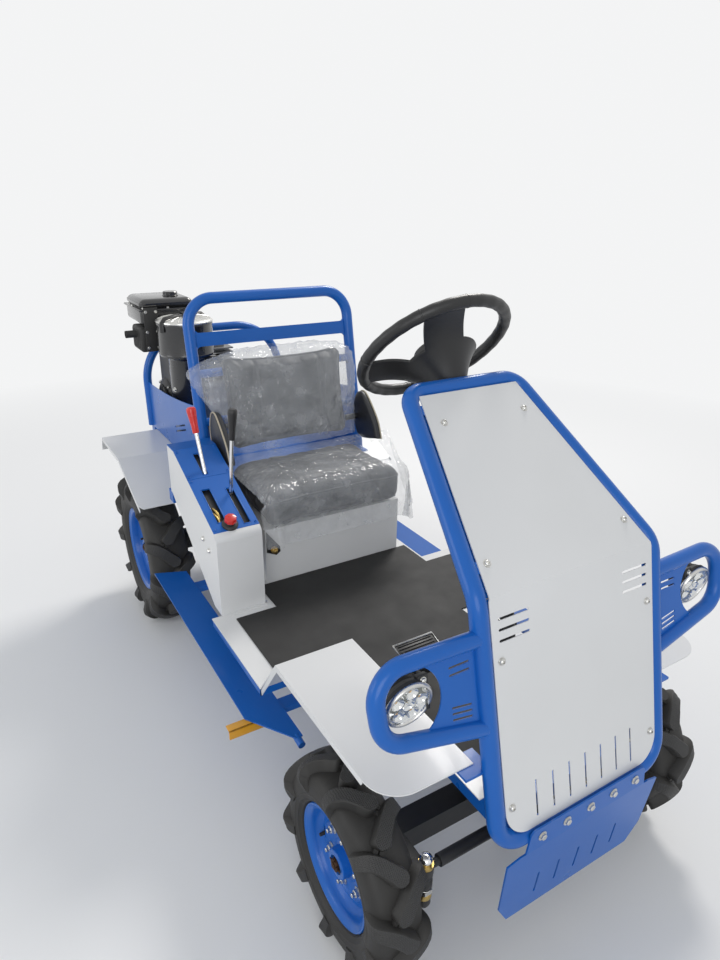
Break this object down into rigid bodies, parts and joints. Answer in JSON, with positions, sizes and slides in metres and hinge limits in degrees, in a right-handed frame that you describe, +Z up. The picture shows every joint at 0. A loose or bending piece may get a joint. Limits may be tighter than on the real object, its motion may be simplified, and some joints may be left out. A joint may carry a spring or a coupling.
{
  "type": "compact tractor",
  "caption": "Small open ride-on farm tractor with lugged tyres, bent-tube sloping cowl, lamp guards, side console, single seat and rear-mounted air-cooled engine.",
  "frame": {"origin": "on the ground under the middle of the overall length and width", "axes": "+Z up, -Y towards the front of the tractor, +X to the driver's left"},
  "size_m": [1.05, 2.252, 1.4251],
  "materials": {
    "blue_frame": "gloss",
    "white_sheet": "satin",
    "black_steel": "satin",
    "black_casting": "satin",
    "engine_casting": "satin",
    "bright_steel": "gloss",
    "dark_plastic": "satin",
    "wheel_plastic": "satin",
    "mat_rubber": "matte",
    "belt_rubber": "matte",
    "tyre_rubber": "matte",
    "lamp_body": "satin",
    "seat_cover": "satin"
  },
  "bodies": {
    "tractor": {"chassis_frame": "blue_frame", "front_axle": "black_steel", "transaxle": "black_casting", "floor_pan": "white_sheet", "floor_mat": "mat_rubber", "cowl_frame": "blue_frame", "cowl_panel": "white_sheet", "skid_plate": "blue_frame", "lamp_guards": "blue_frame", "headlamps": "lamp_body", "front_fenders": "white_sheet", "rear_fenders": "white_sheet", "side_steps": "blue_frame", "console_box": "white_sheet", "console_top": "blue_frame", "hand_levers": "bright_steel", "seat_box": "white_sheet", "seat_cushion": "seat_cover", "seat_back": "seat_cover", "seat_hoop": "blue_frame", "rear_deck": "blue_frame", "rear_guard": "blue_frame", "crankcase": "engine_casting", "cylinder": "engine_casting", "fan_housing": "black_steel", "fuel_tank": "black_steel", "air_cleaner": "dark_plastic", "muffler": "black_steel", "belt_drive": "belt_rubber", "steering_column": "black_steel", "pedals": "black_steel", "drawbar": "black_steel"},
    "steering_wheel": {"steering_wheel": "wheel_plastic"},
    "knuckle_left": {"knuckle_left": "black_steel"},
    "knuckle_right": {"knuckle_right": "black_steel"},
    "drop_arm": {"drop_arm": "black_steel"},
    "tie_rod": {"tie_rod": "black_steel"},
    "wheel_front_left": {"rim_front_left": "blue_frame", "tyre_front_left": "tyre_rubber"},
    "wheel_front_right": {"rim_front_right": "blue_frame", "tyre_front_right": "tyre_rubber"},
    "wheel_rear_left": {"rim_rear_left": "blue_frame", "tyre_rear_left": "tyre_rubber"},
    "wheel_rear_right": {"rim_rear_right": "blue_frame", "tyre_rear_right": "tyre_rubber"}
  },
  "joints": [
    {"name": "steering_wheel_turn", "type": "hinge", "parent": "tractor", "child": "steering_wheel", "pos_m": [0, -0.495, 1.284], "axis": [0, 0.7071, 0.7071], "range_deg": [-270, 270]},
    {"name": "knuckle_left_steer", "type": "hinge", "parent": "tractor", "child": "knuckle_left", "pos_m": [0.33, -0.845, 0.24], "axis": [0, 0, 1], "range_deg": [-30, 30]},
    {"name": "knuckle_right_steer", "type": "hinge", "parent": "tractor", "child": "knuckle_right", "pos_m": [-0.33, -0.845, 0.24], "axis": [0, 0, 1], "range_deg": [-30, 30]},
    {"name": "drop_arm_swing", "type": "hinge", "parent": "tractor", "child": "drop_arm", "pos_m": [0, -0.845, 0.291], "axis": [0, 0, 1], "range_deg": [-30, 30]},
    {"name": "tie_rod_pivot", "type": "hinge", "parent": "knuckle_left", "child": "tie_rod", "pos_m": [0.33, -0.995, 0.311], "axis": [0, 0, 1], "range_deg": [-30, 30]},
    {"name": "wheel_front_left_spin", "type": "hinge", "parent": "knuckle_left", "child": "wheel_front_left", "pos_m": [0.425, -0.845, 0.24], "axis": [1, 0, 0], "continuous": true},
    {"name": "wheel_rear_left_spin", "type": "hinge", "parent": "tractor", "child": "wheel_rear_left", "pos_m": [0.425, 0.735, 0.3], "axis": [1, 0, 0], "continuous": true},
    {"name": "wheel_front_right_spin", "type": "hinge", "parent": "knuckle_right", "child": "wheel_front_right", "pos_m": [-0.425, -0.845, 0.24], "axis": [1, 0, 0], "continuous": true},
    {"name": "wheel_rear_right_spin", "type": "hinge", "parent": "tractor", "child": "wheel_rear_right", "pos_m": [-0.425, 0.735, 0.3], "axis": [1, 0, 0], "continuous": true}
  ],
  "couplings": [
    {"joint": "knuckle_left_steer", "follows": "steering_wheel_turn", "ratio": 0.11111},
    {"joint": "knuckle_right_steer", "follows": "steering_wheel_turn", "ratio": 0.11111},
    {"joint": "drop_arm_swing", "follows": "steering_wheel_turn", "ratio": 0.11111},
    {"joint": "tie_rod_pivot", "follows": "steering_wheel_turn", "ratio": -0.11111}
  ]
}
